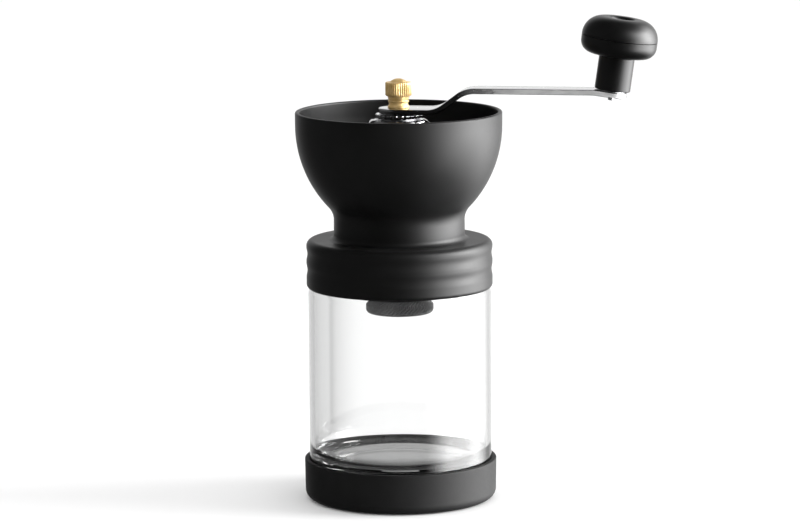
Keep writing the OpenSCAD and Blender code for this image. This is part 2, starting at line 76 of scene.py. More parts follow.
BOOT_R = high("base_boot").x
BOOT_TOP = high("base_boot").z
JAR_R = high("glass_jar").x
JAR_TOP = high("glass_jar").z
COLLAR_R = high("screw_collar").x
COLLAR_TOP = high("screw_collar").z
COLLAR_LOW = low("screw_collar").z
HOPPER_R = high("hopper_bowl").x
HOPPER_TOP = high("hopper_bowl").z
HOPPER_LOW = low("hopper_bowl").z
BURR_LOW = low("inner_burr").z
BURR_TOP = high("inner_burr").z
BURR_R = high("inner_burr").x
HUB_LOW = low("crank_arm").z
ADJUST_LOW = low("adjusting_nut").z
ADJUST_TOP = high("adjusting_nut").z
ADJUST_R = high("adjusting_nut").x
CAP_LOW = low("cap_nut").z
CAP_TOP = high("cap_nut").z
FOOT_LOW = low("cap_washer").z

JAR_WALL = 2.45
BOOT_FLOOR = 6.0
JAR_FLOOR = 19.0
JAR_SHOULDER = 95.4
JAR_SHOULDER_R = 7.0
NECK_R = 37.6
NECK_IN_R = 34.8
THREAD_Z = 103.2
THREAD_PITCH = 4.0
THREAD_DEPTH = 1.55
ARM_T = 2.5
KEY_GLOW = 13.0
BACKDROP_GAIN = 1.2
# What shows through the glass, from left (-1) to right (1): dim left wall, the edge of the white
# backdrop, the backdrop itself, and a paler right wall
BACKDROP = ((-1.0, 0.52), (1.0, 0.85), (-0.5, 0.62), (-0.3, 0.70), (-0.257, 0.70), (-0.246, 0.50),
            (-0.230, 0.68), (-0.185, 0.95), (-0.155, 0.975), (-0.10, 0.965), (-0.02, 0.88), (0.17, 0.60),
            (0.5, 0.72))


# ---------------------------------------------------------------- outlines

def arc(x, y, r, a0, a1, n=10):
    """Points along an arc, from angle a0 to a1 in degrees."""
    points = []
    for i in range(n + 1):
        a = math.radians(a0 + (a1 - a0) * i / n)
        points.append((x + r * math.cos(a), y + r * math.sin(a)))
    return points


def guarded(profile, closed, gap=0.25, longest=6.0):
    """The outline with points added near its corners and along long runs, so shading stays flat."""
    out = []
    count = len(profile)
    for i in range(count if closed else count - 1):
        a, b = Vector(profile[i]), Vector(profile[(i + 1) % count])
        out.append(tuple(a))
        length = (b - a).length
        if length < 4 * gap:
            continue
        step = (b - a) / length
        steps = max(1, math.ceil((length - 2 * gap) / longest))
        for k in range(steps + 1):
            out.append(tuple(a + step * (gap + (length - 2 * gap) * k / steps)))
    if not closed:
        out.append(profile[-1])
    return out


# ---------------------------------------------------------------- meshes

def make_object(name, verts, faces, sharp=34):
    """A smooth-shaded object with its normals outwards and its steep edges sharp."""
    mesh = bpy.data.meshes.new(name)
    mesh.from_pydata([Vector(v) * MM for v in verts], [], faces)
    mesh.update()
    bm = bmesh.new()
    bm.from_mesh(mesh)
    bmesh.ops.remove_doubles(bm, verts=bm.verts, dist=1e-7)
    bmesh.ops.recalc_face_normals(bm, faces=bm.faces)
    bm.to_mesh(mesh)
    bm.free()
    mesh.polygons.foreach_set("use_smooth", [True] * len(mesh.polygons))
    mesh.set_sharp_from_angle(angle=math.radians(sharp))
    obj = bpy.data.objects.new(name, mesh)
    bpy.context.scene.collection.objects.link(obj)
    return obj


def lathe(name, profile, closed=False, segments=256, shape=None, sharp=34):
    """A turned solid. shape(r, z, angle) may move each point to a new (r, z)."""
    profile = guarded(profile, closed)
    verts, rings, faces = [], [], []
    for r, z in profile:
        if r < 1e-6:
            rings.append([len(verts)] * segments)
            verts.append((0, 0, z))
            continue
        rings.append(list(range(len(verts), len(verts) + segments)))
        for k in range(segments):
            a = TURN * k / segments
            pr, pz = shape(r, z, a) if shape else (r, z)
            verts.append((pr * math.cos(a), pr * math.sin(a), pz))
    count = len(profile)
    for i in range(count if closed else count - 1):
        lower, upper = rings[i], rings[(i + 1) % count]
        for k in range(segments):
            n = (k + 1) % segments
            quad = (lower[k], lower[n], upper[n], upper[k])
            corners = list(dict.fromkeys(quad))
            if len(corners) > 2:
                faces.append(corners)
    return make_object(name, verts, faces, sharp)


def place(obj, body, slot, material, *nodes):
    """Gives a piece its material and body, and hides the CAD nodes it stands for."""
    obj.data.materials.append(material)
    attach(obj, body)
    if nodes:
        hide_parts(*nodes)
    return obj


# ---------------------------------------------------------------- materials

class Shader:
    """A material under construction: one Principled shader and the nodes that feed it."""

    def __init__(self, name, **values):
        self.material = bpy.data.materials.new(name)
        self.material.use_nodes = True
        self.tree = self.material.node_tree
        self.bsdf = self.tree.nodes["Principled BSDF"]
        for key, value in values.items():
            self.bsdf.inputs[key.replace("_", " ")].default_value = value
        self.place = self.add("ShaderNodeTexCoord").outputs["Object"]

    def add(self, kind, **values):
        node = self.tree.nodes.new(kind)
        for key, value in values.items():
            setattr(node, key, value)
        return node

    def link(self, out, socket):
        self.tree.links.new(out, socket)

    def scaled(self, scale):
        """Object coordinates stretched by scale, so streaks can run one way."""
        mapping = self.add("ShaderNodeMapping")
        mapping.inputs["Scale"].default_value = scale
        self.link(self.place, mapping.inputs["Vector"])
        return mapping.outputs["Vector"]

    def noise(self, scale, detail=4.0, vector=None, roughness=0.55):
        node = self.add("ShaderNodeTexNoise")
        node.inputs["Scale"].default_value = scale
        node.inputs["Detail"].default_value = detail
        node.inputs["Roughness"].default_value = roughness
        self.link(vector or self.place, node.inputs["Vector"])
        return node.outputs["Fac"]

    def ramp(self, factor, low_value, high_value, a=0.3, b=0.7):
        """Maps a factor between a and b to values or colours between low_value and high_value."""
        colour = isinstance(low_value, (tuple, list))
        if colour:
            node = self.add("ShaderNodeValToRGB")
            node.color_ramp.elements[0].position = a
            node.color_ramp.elements[1].position = b
            node.color_ramp.elements[0].color = (*low_value, 1)
            node.color_ramp.elements[1].color = (*high_value, 1)
            self.link(factor, node.inputs["Fac"])
            return node.outputs["Color"]
        node = self.add("ShaderNodeMapRange")
        for key, value in (("From Min", a), ("From Max", b), ("To Min", low_value), ("To Max", high_value)):
            node.inputs[key].default_value = value
        self.link(factor, node.inputs["Value"])
        return node.outputs["Result"]

    def math(self, operation, first, second):
        node = self.add("ShaderNodeMath", operation=operation)
        for socket, value in zip(node.inputs, (first, second)):
            if isinstance(value, (int, float)):
                socket.default_value = value
            else:
                self.link(value, socket)
        return node.outputs["Value"]

    def bump(self, height, strength, distance):
        node = self.add("ShaderNodeBump")
        node.inputs["Strength"].default_value = strength
        node.inputs["Distance"].default_value = distance
        self.link(height, node.inputs["Height"])
        self.link(node.outputs["Normal"], self.bsdf.inputs["Normal"])


def moulded_plastic(name, dark, light, rough, grain, level):
    """Black moulding: fine grain, slow changes of gloss, and a faint lighter bloom."""
    s = Shader(name, IOR=1.5, Specular_IOR_Level=level)
    cloud = s.noise(38, 5)
    fine = s.noise(1900, 3)
    s.link(s.ramp(cloud, dark, light), s.bsdf.inputs["Base Color"])
    mottled = s.math("ADD", s.math("MULTIPLY", cloud, 0.6), s.math("MULTIPLY", fine, 0.4))
    s.link(s.ramp(mottled, rough - 0.05, rough + 0.06), s.bsdf.inputs["Roughness"])
    s.bump(fine, grain, 0.00004)
    return s.material


def rubber(name):
    """Matt black rubber with a fine even tooth and a little dust; its floor, under the glass, is painted
    pale grey as painted light for the glow seen through the glass base.
    """
    s = Shader(name, IOR=1.5, Specular_IOR_Level=0.2)
    cloud = s.noise(60, 6)
    tooth = s.noise(2600, 2)
    black = s.ramp(cloud, (0.0045, 0.0045, 0.0045), (0.0072, 0.0072, 0.0074))
    split = s.add("ShaderNodeSeparateXYZ")
    s.link(s.place, split.inputs[0])
    flat = s.add("ShaderNodeCombineXYZ")
    s.link(split.outputs["X"], flat.inputs[0])
    s.link(split.outputs["Y"], flat.inputs[1])
    radius = s.add("ShaderNodeVectorMath", operation="LENGTH")
    s.link(flat.outputs[0], radius.inputs[0])
    above = s.ramp(split.outputs["Z"], 0.0, 1.0, (BOOT_FLOOR - 1) * MM, (BOOT_FLOOR - 0.5) * MM)
    inside = s.ramp(radius.outputs["Value"], 1.0, 0.0, (JAR_R - 1.5) * MM, (JAR_R - 0.5) * MM)
    # Painted light: the floor disc under the glass is painted pale grey (0.34) for the glow seen through
    # the glass base; the rubber itself is black there.
    mix = s.add("ShaderNodeMix", data_type="RGBA")
    s.link(s.math("MULTIPLY", above, inside), mix.inputs["Factor"])
    s.link(black, mix.inputs[6])
    mix.inputs[7].default_value = (0.34, 0.34, 0.34, 1)
    s.link(mix.outputs[2], s.bsdf.inputs["Base Color"])
    s.link(s.ramp(tooth, 0.52, 0.68), s.bsdf.inputs["Roughness"])
    s.bump(tooth, 0.35, 0.00005)
    return s.material


def clear_glass(name):
    """Pressed clear glass: nearly smooth, with slow waves in its surface."""
    s = Shader(name, IOR=1.5, Transmission_Weight=1.0)
    waves = s.noise(26, 2, s.scaled((1, 1, 0.35)))
    s.link(s.ramp(s.noise(90, 3), 0.0, 0.012), s.bsdf.inputs["Roughness"])
    s.link(s.ramp(waves, (0.985, 0.99, 0.988), (1.0, 1.0, 1.0)), s.bsdf.inputs["Base Color"])
    s.bump(waves, 0.04, 0.0003)
    absorb = s.add("ShaderNodeVolumeAbsorption")
    absorb.inputs["Color"].default_value = (0.0, 0.0, 0.0, 1)
    absorb.inputs["Density"].default_value = 9.0
    s.link(absorb.outputs["Volume"], s.tree.nodes["Material Output"].inputs["Volume"])
    return s.material


def plated(name, colour, rough, streak):
    """Bright plating with faint polishing streaks and soft patches of haze."""
    s = Shader(name, Metallic=1.0)
    haze = s.noise(120, 4)
    lines = s.noise(900, 3, s.scaled(streak))
    dim = tuple(c * 0.9 for c in colour)
    s.link(s.ramp(haze, dim, colour), s.bsdf.inputs["Base Color"])
    blend = s.math("ADD", s.math("MULTIPLY", haze, 0.5), s.math("MULTIPLY", lines, 0.5))
    s.link(s.ramp(blend, rough * 0.6, rough * 1.5), s.bsdf.inputs["Roughness"])
    s.bump(lines, 0.05, 0.00002)
    return s.material


def sheared_strip_with_painted_highlight(name, colour, rough, streak, start, end):
    """Plated strip whose sheared side faces are duller, and painted pale grey as a highlight, more so from
    start to end along X.
    """
    s = Shader(name)
    haze = s.noise(120, 4)
    lines = s.noise(900, 3, s.scaled(streak))
    grit = s.noise(1300, 4, s.scaled((0.35, 1.0, 1.0)))
    split = s.add("ShaderNodeSeparateXYZ")
    s.link(s.add("ShaderNodeNewGeometry").outputs["Normal"], split.inputs[0])
    side = s.ramp(s.math("ABSOLUTE", split.outputs["Y"], 0.0), 0.0, 1.0, 0.75, 0.95)
    where = s.add("ShaderNodeSeparateXYZ")
    s.link(s.place, where.inputs[0])
    # Painted highlight: the side faces are painted pale grey and less metallic, growing from start to end
    # along X, for light on the arm's front edge; their dullness is the sheared edge's own.
    dull_edge_and_painted_highlight = s.math("MULTIPLY", side, s.ramp(where.outputs["X"], 0.0, 1.0, start, end))
    dull_edge_and_painted_highlight = s.math("MULTIPLY", dull_edge_and_painted_highlight, s.ramp(grit, 0.65, 1.0, 0.35, 0.6))
    pale = s.ramp(haze, tuple(c * 0.9 for c in colour), colour)
    mix = s.add("ShaderNodeMix", data_type="RGBA")
    s.link(dull_edge_and_painted_highlight, mix.inputs["Factor"])
    s.link(pale, mix.inputs[6])
    mix.inputs[7].default_value = (0.62, 0.62, 0.62, 1)
    s.link(mix.outputs[2], s.bsdf.inputs["Base Color"])
    s.link(s.ramp(dull_edge_and_painted_highlight, 1.0, 0.35, 0.0, 1.0), s.bsdf.inputs["Metallic"])
    blend = s.math("ADD", s.math("MULTIPLY", haze, 0.5), s.math("MULTIPLY", lines, 0.5))
    polish = s.ramp(blend, rough * 0.6, rough * 1.5)
    s.link(s.math("ADD", polish, s.math("MULTIPLY", dull_edge_and_painted_highlight, 0.3)), s.bsdf.inputs["Roughness"])
    s.bump(lines, 0.05, 0.00002)
    return s.material


def turned_brass(name):
    """Brass as it leaves the lathe: rings round the axis in its roughness and surface, and a patchy tone.
    """
    s = Shader(name, Metallic=0.6)
    rings = s.noise(1500, 2, s.scaled((0.05, 0.05, 1.0)))
    patina = s.noise(350, 5)
    s.link(s.ramp(patina, (0.60, 0.39, 0.14), (0.80, 0.59, 0.28)), s.bsdf.inputs["Base Color"])
    s.link(s.ramp(rings, 0.34, 0.5), s.bsdf.inputs["Roughness"])
    s.bump(rings, 0.25, 0.00003)
    return s.material


def dark_ceramic(name):
    """Unglazed dark grey burr material with a fine, slightly glossy grain."""
    s = Shader(name, IOR=1.7)
    grain = s.noise(2400, 4)
    cloud = s.noise(180, 4)
    s.link(s.ramp(cloud, (0.018, 0.018, 0.019), (0.042, 0.042, 0.044)), s.bsdf.inputs["Base Color"])
    s.link(s.ramp(grain, 0.32, 0.5), s.bsdf.inputs["Roughness"])
    s.bump(grain, 0.4, 0.00005)
    return s.material


def plain_metal(name, colour, rough):
    """Machined or zinc-plated metal with an even fine texture."""
    s = Shader(name, Metallic=1.0)
    grain = s.noise(1400, 4)
    s.link(s.ramp(grain, tuple(c * 0.82 for c in colour), colour), s.bsdf.inputs["Base Color"])
    s.link(s.ramp(grain, rough, rough + 0.14), s.bsdf.inputs["Roughness"])
    s.bump(grain, 0.2, 0.00003)
    return s.material


def silicone(name):
    """Milky seal with a faint bloom."""
    s = Shader(name, IOR=1.42, Subsurface_Weight=0.3, Subsurface_Scale=0.002)
    bloom = s.noise(400, 4)
    s.link(s.ramp(bloom, (0.66, 0.65, 0.61), (0.78, 0.77, 0.73)), s.bsdf.inputs["Base Color"])
    s.link(s.ramp(bloom, 0.4, 0.6), s.bsdf.inputs["Roughness"])
    s.bump(bloom, 0.2, 0.00004)
    return s.material


HOPPER_BLACK = moulded_plastic(
    "hopper_black", dark=(0.0026, 0.0026, 0.0026), light=(0.0044, 0.0044, 0.0045),
    rough=0.42, grain=0.16, level=0.25)
COLLAR_BLACK = moulded_plastic(
    "collar_black", dark=(0.0027, 0.0027, 0.0027), light=(0.0044, 0.0044, 0.0045),
    rough=0.42, grain=0.20, level=0.25)
KNOB_BLACK = moulded_plastic(
    "knob_black", dark=(0.0024, 0.0024, 0.0024), light=(0.0038, 0.0038, 0.0039),
    rough=0.36, grain=0.14, level=0.3)
INNER_BLACK = moulded_plastic(
    "inner_black", dark=(0.006, 0.006, 0.006), light=(0.010, 0.010, 0.010),
    rough=0.48, grain=0.20, level=0.3)
BOOT_RUBBER = rubber("boot_rubber")
JAR_GLASS = clear_glass("jar_glass")
ARM_CHROME = sheared_strip_with_painted_highlight("arm_chrome", (0.60, 0.60, 0.605), 0.12, (0.03, 1.0, 1.0), 0.028, 0.055)
BRIDGE_CHROME = plated("bridge_chrome", (0.62, 0.62, 0.63), 0.09, (1.0, 1.0, 0.05))
BRASS = turned_brass("nut_brass")
BURR = dark_ceramic("burr_ceramic")
STEEL = plain_metal("screw_steel", (0.62, 0.62, 0.63), 0.28)
SHAFT_STEEL = plain_metal("shaft_steel", (0.68, 0.68, 0.70), 0.2)
BRONZE = plain_metal("bush_bronze", (0.62, 0.43, 0.20), 0.3)
SILICONE = silicone("gasket_rubber")


# ---------------------------------------------------------------- jar and boot

def make_boot():
    """Rubber boot: full lower edge, slightly flared wall, flat rim with softened corners."""
    inner = JAR_R + 0.06
    rim = 0.5
    fillet = 4.25
    profile = [(0, 0), (BOOT_R - 0.25 - fillet, 0)]
    profile += arc(BOOT_R - 0.25 - fillet, fillet, fillet, -90, 0, 14)[1:]
    profile += arc(BOOT_R - rim, BOOT_TOP - rim, rim, 0, 90, 6)
    profile += arc(inner + 0.35, BOOT_TOP - 0.35, 0.35, 90, 180, 5)
    profile += [(inner, BOOT_FLOOR + 0.6), (inner - 0.6, BOOT_FLOOR), (0, BOOT_FLOOR)]
    return place(lathe("boot", profile), "jar", "boot_rubber", BOOT_RUBBER, "base_boot")


def ridge(z, angle, start_z, turns, pitch, depth, start=0.0):
    """How far a helical ridge stands out at height z and angle: a rounded thread that fades at its ends."""
    best = 0.0
    for k in range(-1, int(turns) + 2):
        along = (angle - start) / TURN + k
        if not 0 <= along <= turns:
            continue
        fade = min(1.0, along * 10, (turns - along) * 10)
        off = abs(z - (start_z + pitch * along))
        if off < 0.95:
            best = max(best, depth * fade * (1 - max(0.0, (off - 0.35) / 0.6) ** 2))
    return best


def make_jar():
    """Glass jar: thick pressed floor with faint rings, thin wall, rounded shoulder, threaded neck."""
    inner = JAR_R - JAR_WALL
    heel, corner = 6.0, 7.0
    foot_z, punt_depth, punt_r, punt_slope = BOOT_FLOOR + 0.05, 1.0, 26.0, 3.0
    bend_x = JAR_R - JAR_SHOULDER_R
    bend_in = JAR_SHOULDER_R - JAR_WALL
    meet = math.degrees(math.acos((NECK_R - bend_x) / JAR_SHOULDER_R))
    meet_in = math.degrees(math.acos((NECK_IN_R - bend_x) / bend_in))
    neck_low = JAR_SHOULDER + JAR_SHOULDER_R * math.sin(math.radians(meet))
    profile = [(0, foot_z + punt_depth), (punt_r, foot_z + punt_depth), (punt_r + punt_slope, foot_z)]
    profile += arc(JAR_R - heel, foot_z + heel, heel, -90, 0, 16)
    profile += arc(bend_x, JAR_SHOULDER, JAR_SHOULDER_R, 0, meet, 14)
    profile += [(NECK_R, neck_low + 0.3 + 0.3 * i) for i in range(29)]
    profile += arc(NECK_R - 0.8, JAR_TOP - 0.8, 0.8, 0, 90, 6)
    profile += arc(NECK_IN_R + 0.6, JAR_TOP - 0.6, 0.6, 90, 180, 5)
    profile += arc(bend_x, JAR_SHOULDER, bend_in, meet_in, 0, 14)
    dish = 58.0
    profile += arc(inner - corner, JAR_FLOOR + corner, corner, 0, -dish, 20)
    dish_r, dish_z = profile[-1]
    flat_r = dish_r - (dish_z - JAR_FLOOR) * math.tan(math.radians(dish))
    profile += arc(flat_r - 0.6, JAR_FLOOR, 0.35, 0, 180, 8)
    flat_r -= 1.3
    profile += [(flat_r * (1 - i / 60), JAR_FLOOR) for i in range(1, 61)]

    def shape(r, z, a):
        if abs(r - NECK_R) < 0.01 and neck_low < z < JAR_TOP - 1:
            r += ridge(z, a, THREAD_Z, 1.25, THREAD_PITCH, THREAD_DEPTH)
        if abs(z - JAR_FLOOR) < 0.01 and r < flat_r:
            edge = min(1.0, (flat_r - r) / 4)
            z += edge * 0.0015 * math.cos(r * 2.1) * math.cos(r * 0.37)
        return r, z

    jar = lathe("jar", profile, segments=288, shape=shape, sharp=60)
    return place(jar, "jar", "jar_glass", JAR_GLASS, "glass_jar")


# ---------------------------------------------------------------- collar and hopper

def make_collar():
    """Screw collar: soft upper edge, two shallow grooves, small lower edge, threaded inside."""
    wall = 40.3
    flange_top = COLLAR_TOP - 3.0
    thread_z, thread_start = THREAD_Z - 0.2 * THREAD_PITCH, math.radians(108)
    grooves = (COLLAR_TOP - 6.6, COLLAR_TOP - 14.0)
    half, dip_depth = 3.4, 0.45

    def side(z):
        dip = max((0.5 + 0.5 * math.cos(math.pi * (z - g) / half) if abs(z - g) < half else 0.0)
                  for g in grooves)
        return COLLAR_R - dip_depth * dip

    foot, lean = 2.0, 58.0
    foot_z = COLLAR_LOW + foot * math.sin(math.radians(lean))
    profile = arc(COLLAR_R - foot, foot_z, foot, -lean, 0, 10)
    levels = [foot_z + 0.25 + 0.25 * i for i in range(70)]
    profile += [(side(z), z) for z in levels if z < COLLAR_TOP - 3.0]
    profile += arc(COLLAR_R - 3.0, COLLAR_TOP - 3.0, 3.0, 0, 90, 14)
    profile += [(29.0, COLLAR_TOP), (29.0, flange_top), (wall, flange_top)]
    profile += [(wall, z) for z in (flange_top - 1 - 0.35 * i for i in range(49)) if z > COLLAR_LOW + 2.5]
    profile += [(wall, COLLAR_LOW + 2.4)]

    def shape(r, z, a):
        if abs(r - wall) < 0.01 and COLLAR_LOW + 2.5 < z < flange_top - 0.5:
            r -= ridge(z, a, thread_z, 1.0, THREAD_PITCH, THREAD_DEPTH, thread_start)
        return r, z

    collar = lathe("collar", profile, closed=True, segments=288, shape=shape)
    return place(collar, "hopper", "housing_black", COLLAR_BLACK, "screw_collar")


def hopper_curve(offset, steps):
    """The bowl's side from the neck's blend up to the rim, moved inwards by offset."""
    bowl_r, bowl_z, blend_r, neck_r = 54.7, 173.0, 9.0, 30.0
    bowl_x = HOPPER_R - bowl_r
    reach = neck_r + blend_r - bowl_x
    blend_z = bowl_z - math.sqrt((bowl_r + blend_r) ** 2 - reach ** 2)
    meet = math.degrees(math.asin(reach / (bowl_r + blend_r)))
    lower = arc(neck_r + blend_r, blend_z, blend_r + offset, 180, 90 + meet, steps)
    upper = arc(bowl_x, bowl_z, bowl_r - offset, meet - 90, 0, 3 * steps)
    return lower + upper[1:]


def make_hopper():
    """Hopper bowl on its neck: thin rounded rim, smooth inside, pierced floor at the bottom."""
    wall, hole, floor, foot = 2.0, 18.0, 119.5, 32.4
    inside = hopper_curve(wall, 14)
    profile = [(hole, HOPPER_LOW), (28.9, HOPPER_LOW), (28.9, COLLAR_TOP + 0.02), (foot, COLLAR_TOP + 0.02)]
    profile += arc(foot, COLLAR_TOP + 2.4, 2.36, -90, -180, 8)
    profile += hopper_curve(0.0, 14)
    profile += arc(HOPPER_R - 0.8, HOPPER_TOP - 0.8, 0.8, 0, 90, 6)
    profile += arc(HOPPER_R - wall + 0.8, HOPPER_TOP - 0.8, 0.8, 90, 180, 6)
    profile += inside[::-1]
    profile += [(28.0, floor + 1.5)] + arc(26.5, floor + 1.5, 1.5, 0, -90, 6)
    profile += [(hole + 0.4, floor), (hole, floor - 0.4)]
    hopper = lathe("hopper", profile, closed=True, segments=320)
    return place(hopper, "hopper", "hopper_black", HOPPER_BLACK, "hopper_bowl")


# ---------------------------------------------------------------- burr and spring

def make_burr():
    """Inner burr: rounded foot, cone with fine slanting teeth, hollow underneath."""
    teeth, tip_r, slant, tooth_depth = 51, 10.5, math.radians(58), 0.62
    cone_z = BURR_LOW + 4.1
    height = BURR_TOP - BURR_LOW
    outline = [(9.0, BURR_LOW + 5.0), (9.0, BURR_LOW + 0.4), (9.4, BURR_LOW)]
    outline += arc(BURR_R - 2.0, BURR_LOW + 2.0, 2.0, -90, 0, 8)
    outline += [(BURR_R, BURR_LOW + 2.2 + 0.3 * i) for i in range(6)]
    cone = (i / 24 for i in range(1, 25))
    outline += [(BURR_R + (tip_r - BURR_R) * t, cone_z + (BURR_TOP - cone_z) * t) for t in cone]
    outline += [(3.06, BURR_TOP), (3.06, BURR_LOW + 5.0)]

    def shape(r, z, a):
        if r < 9.6:
            return r, z
        rise = (z - BURR_LOW) / height
        saw = ((a - slant * rise) * teeth / TURN) % 1.0
        cut = saw / 0.72 if saw < 0.72 else (1 - saw) / 0.28
        depth = tooth_depth * min(1.0, max(0.0, (z - BURR_LOW - 0.5) / 1.2)) * (1 + 0.6 * rise)
        return r - depth * cut, z

    burr = lathe("inner_burr_toothed", outline, closed=True, segments=teeth * 12, shape=shape, sharp=50)
    return place(burr, "drive", "burr_ceramic", BURR, "inner_burr")


def sweep(name, points, radius, sides=12):
    """A round wire along a list of points."""
    verts, faces = [], []
    count = len(points)
    for i, p in enumerate(points):
        ahead = Vector(points[min(i + 1, count - 1)]) - Vector(points[max(i - 1, 0)])
        ahead.normalize()
        side = ahead.cross(Vector((0, 0, 1))).normalized()
        up = side.cross(ahead)
        for k in range(sides):
            a = TURN * k / sides
            verts.append(Vector(p) + radius * (math.cos(a) * side + math.sin(a) * up))
    for i in range(count - 1):
        for k in range(sides):
            n = (k + 1) % sides
            faces.append((i * sides + k, i * sides + n, (i + 1) * sides + n, (i + 1) * sides + k))
    faces.append(tuple(range(sides)))
    faces.append(tuple((count - 1) * sides + k for k in range(sides)))
    return make_object(name, verts, faces)


def make_spring():
    """Coil spring over the shaft, with a closed turn at each end."""
    wire, radius, turns = 0.5, 4.9, 5.5
    z0, z1 = BURR_TOP + 0.1 + wire, low("spring_washer").z - 0.1 - wire
    steps = 240
    points = []
    for i in range(steps + 1):
        t = i / steps
        along = min(1.0, max(0.0, (t * turns - 0.75) / (turns - 1.5)))
        z = z0 + wire * min(t * turns, 0.75) + (z1 - z0 - 1.5 * wire) * along
        z += wire * max(0.0, t * turns - turns + 0.75)
        a = TURN * turns * t
        points.append((radius * math.cos(a), radius * math.sin(a), z))
    spring = sweep("burr_spring_coil", points, wire)
    place(spring, "hopper", "spring_steel", STEEL, "burr_spring")
    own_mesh(spring)


# ---------------------------------------------------------------- bridge and nuts

def plate(name, outline, path, thickness, rounding=0.4, rounds=4):
    """A bent plate: outline is its half widths along the path, as (length, half width) pairs.

    path(s) gives the middle line's point and direction at length s, in the XZ plane.
    """
    def offset(inset):
        """Outline moved inwards by inset, keeping the stations' order."""
        moved = []
        last = len(outline) - 1
        for i, (s, w) in enumerate(outline):
            before, after = outline[max(i - 1, 0)], outline[min(i + 1, last)]
            ds, dw = after[0] - before[0], after[1] - before[1]
            if i == 0:
                ds, dw = 0.0, 1.0
            if i == last:
                ds, dw = 0.0, -1.0
            length = math.hypot(ds, dw) or 1.0
            moved.append((s + inset * dw / length, max(0.0, w - inset * ds / length)))
        return moved

    layers = []
    for k in range(rounds + 1):
        a = math.pi / 2 * k / rounds
        layers.append((offset(rounding * (1 - math.sin(a))), -thickness / 2 + rounding * (1 - math.cos(a))))
    layers += [(line, -h) for line, h in reversed(layers)]
    verts, faces = [], []
    count = len(outline)
    for line, h in layers:
        for sign in (1, -1):
            for s, w in line:
                point, heading = path(s)
                normal = Vector((-heading.z, 0, heading.x))
                verts.append(point + normal * h + Vector((0, sign * w, 0)))

    def index(layer, side, i):
        return (layer * 2 + side) * count + i

    for layer in range(len(layers) - 1):
        for side in (0, 1):
            for i in range(count - 1):
                faces.append((index(layer, side, i), index(layer, side, i + 1),
                              index(layer + 1, side, i + 1), index(layer + 1, side, i)))
        for i in (0, count - 1):
            faces.append((index(layer, 0, i), index(layer, 1, i),
                          index(layer + 1, 1, i), index(layer + 1, 0, i)))
    for layer in (0, len(layers) - 1):
        for i in range(count - 1):
            faces.append((index(layer, 0, i), index(layer, 0, i + 1),
                          index(layer, 1, i + 1), index(layer, 1, i)))
    return make_object(name, verts, faces, sharp=45)


def bend_chord(angle, bend, length):
    """From a bend's start to the point at length along it. bend is its turn per millimetre."""
    end = angle + bend * length
    return Vector((math.sin(end) - math.sin(angle), 0, math.cos(angle) - math.cos(end))) / bend


def bent_line(start, runs):
    """A path of straight runs and bends. runs holds (length, 0) or (radius, degrees)."""
    pieces = []
    point, angle, s = Vector(start), 0.0, 0.0
    for size, turn in runs:
        if turn == 0:
            pieces.append((s, s + size, point.copy(), angle, 0.0))
            point += Vector((math.cos(angle), 0, math.sin(angle))) * size
            s += size
            continue
        turned = math.radians(turn)
        length = size * abs(turned)
        pieces.append((s, s + length, point.copy(), angle, turned / length))
        point += bend_chord(angle, turned / length, length)
        angle += turned
        s += length

    def path(at):
        for s0, s1, origin, a0, bend in pieces:
            if at <= s1 or s1 == pieces[-1][1]:
                d = at - s0
                if bend == 0:
                    heading = Vector((math.cos(a0), 0, math.sin(a0)))
                    return origin + heading * d, heading
                a = a0 + bend * d
                return origin + bend_chord(a0, bend, d), Vector((math.cos(a), 0, math.sin(a)))

    return path, s


def make_arm():
    """Flat chromed crank arm: round hub, soft double bend, long flat run, tip tilted down."""
    rise, slope, tip_slope, bend = 9.75, 37.0, 8.0, 13.0
    hub_r, arm_w, tip_r, crank, tip_bend, tip_run = 9.1, 13.0, 6.6, 97.7, 4.0, 8.0
    slope_rad = math.radians(slope)
    slope_run = (rise - 2 * bend * (1 - math.cos(slope_rad))) / math.sin(slope_rad)
    first_bend = 14.0
    second_end = first_bend + 2 * bend * math.sin(slope_rad) + slope_run * math.cos(slope_rad)
    start = (-hub_r, 0, HUB_LOW + ARM_T / 2)
    path, length = bent_line(start, [
        (first_bend + hub_r, 0), (bend, slope), (slope_run, 0), (bend, -slope),
        (crank - tip_run - second_end, 0), (tip_bend, -tip_slope), (tip_run + tip_r, 0)])
    bends = first_bend + hub_r + 2 * bend * slope_rad + slope_run
    tip_rad = math.radians(tip_slope)
    tip_s = bends + crank - second_end + tip_bend * (tip_rad - math.sin(tip_rad)) + 0.1
    end = tip_s + tip_r

    def half_width(s):
        if s < hub_r:
            return math.sqrt(max(0.0, hub_r ** 2 - (hub_r - s) ** 2))
        narrow = first_bend + hub_r
        if s < narrow:
            return hub_r
        if s < bends:
            t = (s - narrow) / (bends - narrow)
            t = t * t * (3 - 2 * t)
            return hub_r + (arm_w / 2 - hub_r) * t
        if s < tip_s:
            return arm_w / 2 + (tip_r - arm_w / 2) * (s - bends) / (tip_s - bends)
        return math.sqrt(max(0.0, tip_r ** 2 - (s - tip_s) ** 2))

    stations = [hub_r * (1 - math.cos(math.pi / 2 * i / 20)) for i in range(21)]
    steps = 150
    stations += [hub_r + (tip_s - hub_r) * i / steps for i in range(1, steps)]
    stations += [tip_s + tip_r * math.sin(math.pi / 2 * i / 20) for i in range(21)]
    outline = [(s, half_width(s)) for s in stations]
    arm = plate("crank_arm_bent", outline, path, ARM_T, rounding=0.45)
    return place(arm, "drive", "arm_chrome", ARM_CHROME, "crank_arm")


